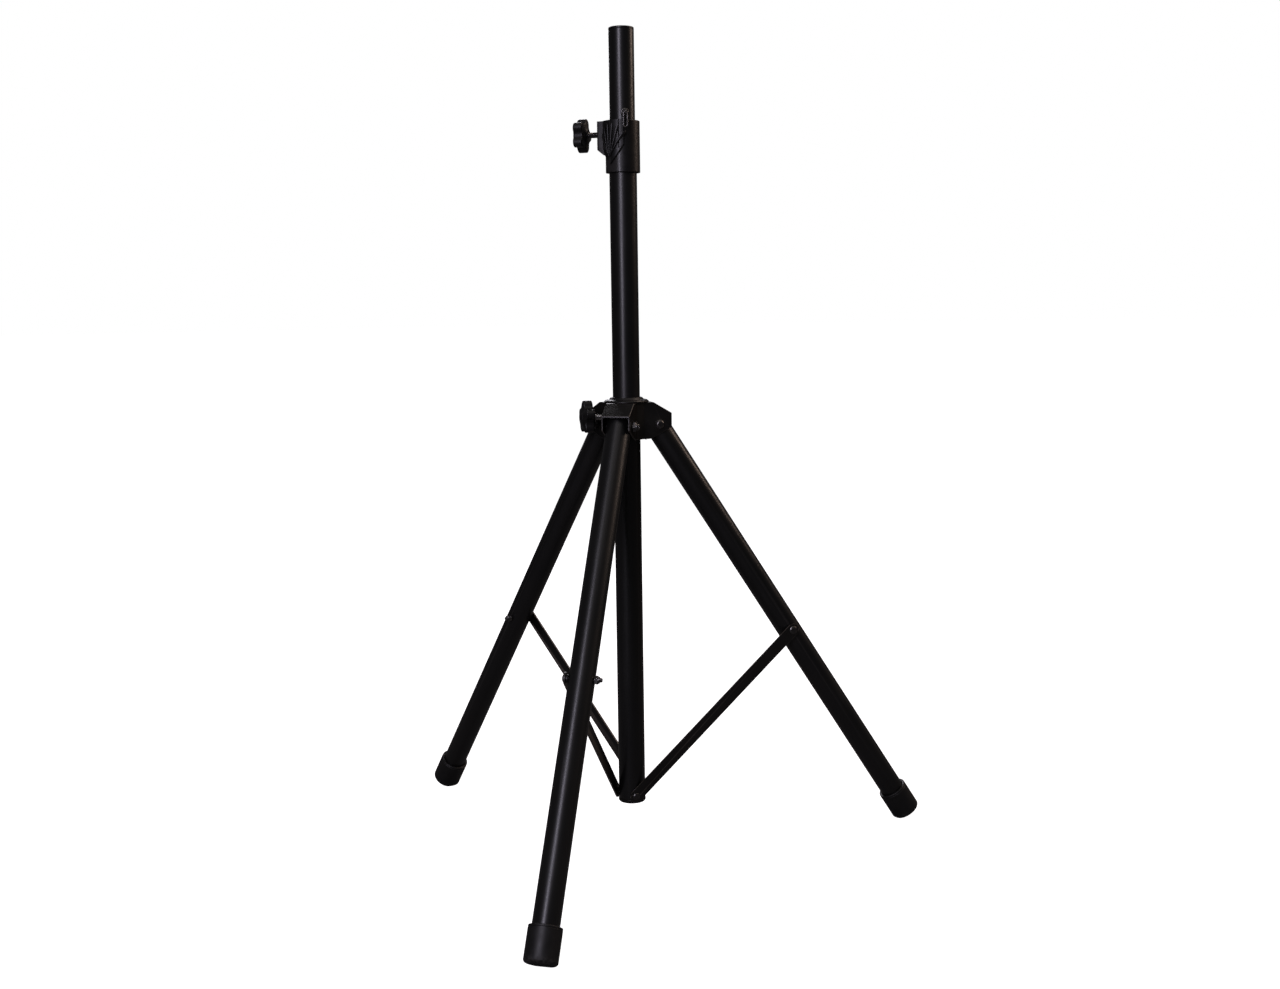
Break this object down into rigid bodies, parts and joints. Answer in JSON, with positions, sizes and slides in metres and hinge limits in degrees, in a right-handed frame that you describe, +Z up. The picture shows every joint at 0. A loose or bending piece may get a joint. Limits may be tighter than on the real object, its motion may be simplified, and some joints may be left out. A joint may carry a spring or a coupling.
{
  "type": "speaker tripod stand",
  "caption": "Folding tripod stand with a telescopic mast, lockable by a clamp knob and a steel pin, that carries a loudspeaker on its pole.",
  "frame": {"origin": "centre of the floor outline of the open stand, on the floor", "axes": "+Z up along the mast; the front leg points 15 degrees from -Y towards -X"},
  "size_m": [0.7598, 0.7598, 1.1598],
  "materials": {
    "powder_coat": "semi-gloss black powder coat",
    "pressed_steel": "satin black paint on pressed sheet",
    "black_plastic": "fine-grained moulded black",
    "rubber": "matte black moulded rubber",
    "black_fastener": "black oxide with bare glints",
    "zinc": "bright zinc plate"
  },
  "bodies": {
    "mast": {"mast_tube": "powder_coat", "mast_end_plug": "black_plastic", "height_collar": "black_plastic", "collar_nut": "black_fastener", "mast_rivet_front": "black_fastener", "mast_rivet_right": "black_fastener", "mast_rivet_left": "black_fastener", "mast_washer_front": "black_fastener", "mast_washer_right": "black_fastener", "mast_washer_left": "black_fastener"},
    "pole": {"pole_tube": "powder_coat", "pole_cap": "black_plastic", "pole_guide_bush": "black_plastic"},
    "pin": {"locking_pin": "black_fastener"},
    "bail": {"pin_bail": "black_fastener"},
    "collar_clamp_pad": {"collar_pad": "black_plastic"},
    "collar_clamp_knob": {"collar_stud": "black_fastener", "collar_knob": "black_plastic"},
    "hub": {"hub_bracket": "pressed_steel", "hub_sleeve": "black_plastic", "hub_nut": "pressed_steel", "leg_pivot_bolt_front": "black_fastener", "leg_pivot_bolt_right": "black_fastener", "leg_pivot_bolt_left": "black_fastener", "leg_pivot_nut_front": "black_fastener", "leg_pivot_nut_right": "black_fastener", "leg_pivot_nut_left": "black_fastener"},
    "hub_clamp_pad": {"hub_pad": "black_plastic"},
    "hub_clamp_knob": {"hub_stud": "zinc", "hub_knob": "black_plastic"},
    "leg_front": {"leg_tube_front": "powder_coat", "foot_front": "rubber", "brace_bolt_front": "black_fastener", "brace_nut_front": "black_fastener", "brace_spacer_front": "black_plastic"},
    "brace_arm_front": {"brace_front": "pressed_steel", "brace_head_front": "black_fastener"},
    "leg_right": {"leg_tube_right": "powder_coat", "foot_right": "rubber", "brace_bolt_right": "black_fastener", "brace_nut_right": "black_fastener", "brace_spacer_right": "black_plastic"},
    "brace_arm_right": {"brace_right": "pressed_steel", "brace_head_right": "black_fastener"},
    "leg_left": {"leg_tube_left": "powder_coat", "foot_left": "rubber", "brace_bolt_left": "black_fastener", "brace_nut_left": "black_fastener", "brace_spacer_left": "black_plastic"},
    "brace_arm_left": {"brace_left": "pressed_steel", "brace_head_left": "black_fastener"}
  },
  "joints": [
    {"name": "pole_height", "type": "slide", "parent": "mast", "child": "pole", "axis": [0, 0, 1], "range_m": [-0.004, 0.68]},
    {"name": "pin_pull", "type": "slide", "parent": "pole", "child": "pin", "axis": [0.1392, -0.9903, 0], "range_m": [0, 0.06]},
    {"name": "bail_swing", "type": "hinge", "parent": "pin", "child": "bail", "pos_m": [-0.05097, 0.02501, 1.04377], "axis": [-0.9903, -0.1392, 0], "range_deg": [0, 150]},
    {"name": "collar_pad_travel", "type": "slide", "parent": "mast", "child": "collar_clamp_pad", "axis": [-0.9511, 0.309, 0], "range_m": [0, 0.0026]},
    {"name": "collar_knob_turn", "type": "hinge", "parent": "collar_clamp_pad", "child": "collar_clamp_knob", "pos_m": [-0.05522, 0.05522, 1.01717], "axis": [-0.9511, 0.309, 0], "range_deg": [0, 720]},
    {"name": "hub_slide", "type": "slide", "parent": "mast", "child": "hub", "axis": [0, 0, 1], "range_m": [0, 0.15716]},
    {"name": "hub_pad_travel", "type": "slide", "parent": "hub", "child": "hub_clamp_pad", "axis": [-0.9659, -0.2588, 0], "range_m": [0, 0.0026]},
    {"name": "hub_knob_turn", "type": "hinge", "parent": "hub_clamp_pad", "child": "hub_clamp_knob", "pos_m": [-0.05522, 0.05522, 0.62806], "axis": [-0.9659, -0.2588, 0], "range_deg": [0, 720]},
    {"name": "leg_fold_front", "type": "hinge", "parent": "hub", "child": "leg_front", "pos_m": [-0.06621, 0.01416, 0.61656], "axis": [0.9659, -0.2588, 0], "range_deg": [0, 30.31]},
    {"name": "brace_fold_front", "type": "hinge", "parent": "mast", "child": "brace_arm_front", "pos_m": [-0.05522, 0.05522, 0.08077], "axis": [-0.9659, 0.2588, 0], "range_deg": [0, 36.56]},
    {"name": "leg_fold_right", "type": "hinge", "parent": "hub", "child": "leg_right", "pos_m": [-0.01416, 0.06621, 0.61656], "axis": [-0.2588, 0.9659, 0], "range_deg": [0, 30.31]},
    {"name": "brace_fold_right", "type": "hinge", "parent": "mast", "child": "brace_arm_right", "pos_m": [-0.05522, 0.05522, 0.08077], "axis": [0.2588, -0.9659, 0], "range_deg": [0, 36.56]},
    {"name": "leg_fold_left", "type": "hinge", "parent": "hub", "child": "leg_left", "pos_m": [-0.08527, 0.08527, 0.61656], "axis": [-0.7071, -0.7071, 0], "range_deg": [0, 30.31]},
    {"name": "brace_fold_left", "type": "hinge", "parent": "mast", "child": "brace_arm_left", "pos_m": [-0.05522, 0.05522, 0.08077], "axis": [0.7071, 0.7071, 0], "range_deg": [0, 36.56]}
  ],
  "couplings": [
    {"joint": "collar_pad_travel", "follows": "collar_knob_turn", "m_per_rad": 0.00019894},
    {"joint": "hub_pad_travel", "follows": "hub_knob_turn", "m_per_rad": 0.00019894},
    {"joint": "leg_fold_front", "follows": "hub_slide", "rad_per_m": 3.3649},
    {"joint": "brace_fold_front", "follows": "hub_slide", "rad_per_m": 4.0586},
    {"joint": "leg_fold_right", "follows": "hub_slide", "rad_per_m": 3.3649},
    {"joint": "brace_fold_right", "follows": "hub_slide", "rad_per_m": 4.0586},
    {"joint": "leg_fold_left", "follows": "hub_slide", "rad_per_m": 3.3649},
    {"joint": "brace_fold_left", "follows": "hub_slide", "rad_per_m": 4.0586}
  ]
}
